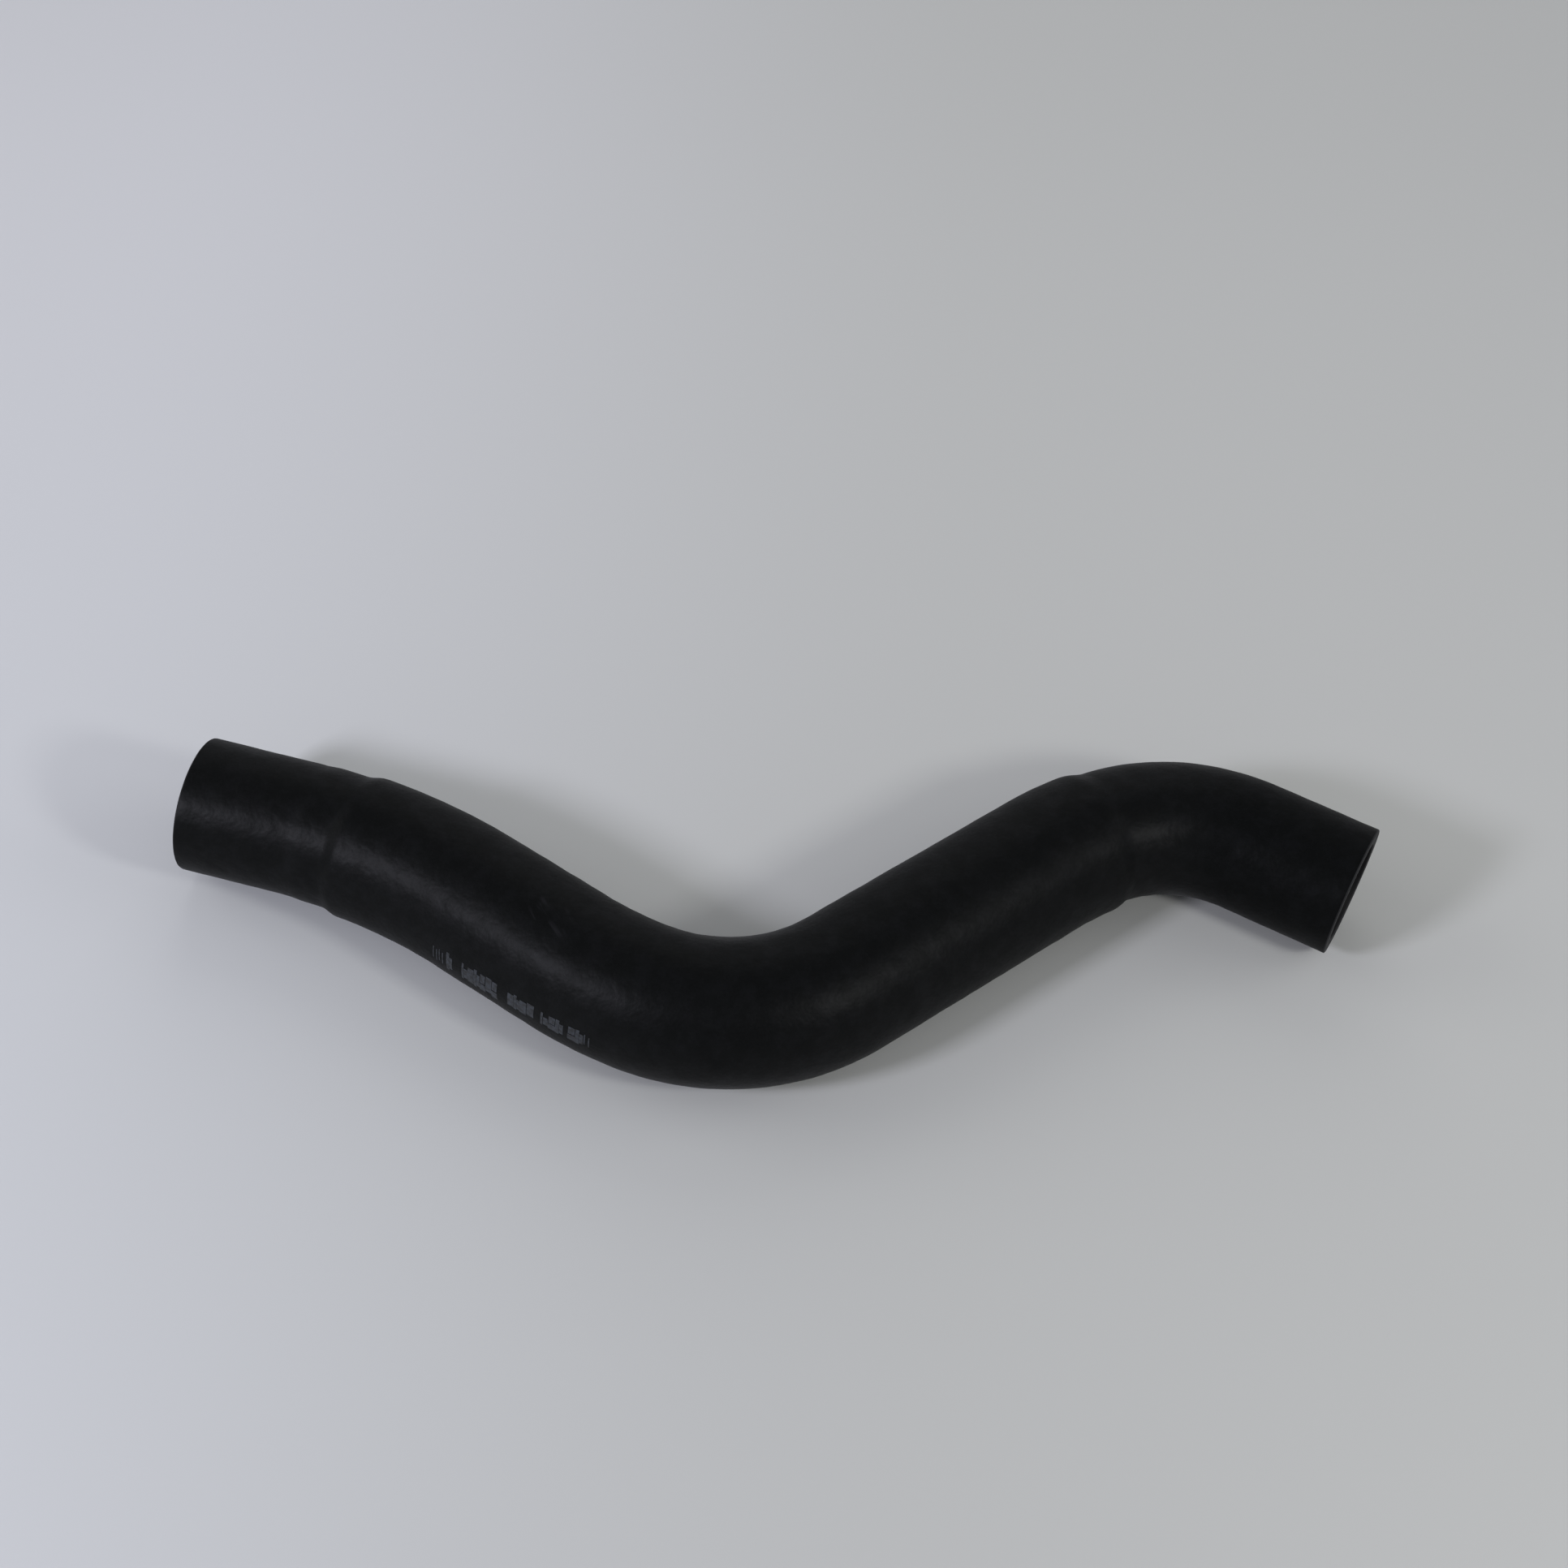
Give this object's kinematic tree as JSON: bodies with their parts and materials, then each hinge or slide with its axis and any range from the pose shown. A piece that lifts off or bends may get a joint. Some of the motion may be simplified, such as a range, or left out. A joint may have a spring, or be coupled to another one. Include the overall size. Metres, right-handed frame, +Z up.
{
  "type": "coolant reservoir hose",
  "caption": "Formed rubber coolant hose with a shallow bend, a wide elbow and a return bend, open at both plain ends, with a thicker body between them.",
  "frame": {"origin": "on the surface that the hose lies on, under the middle of its outline seen from above", "axes": "+X along the overall length, from the collared end to the plain end; +Z up, out of the plane that the whole centreline lies in; +Y towards the hollow side of the elbow"},
  "size_m": [0.3668, 0.1288, 0.0444],
  "materials": {
    "rubber": "satin moulded EPDM rubber"
  },
  "bodies": {
    "root": {"hose": "rubber"}
  },
  "joints": []
}
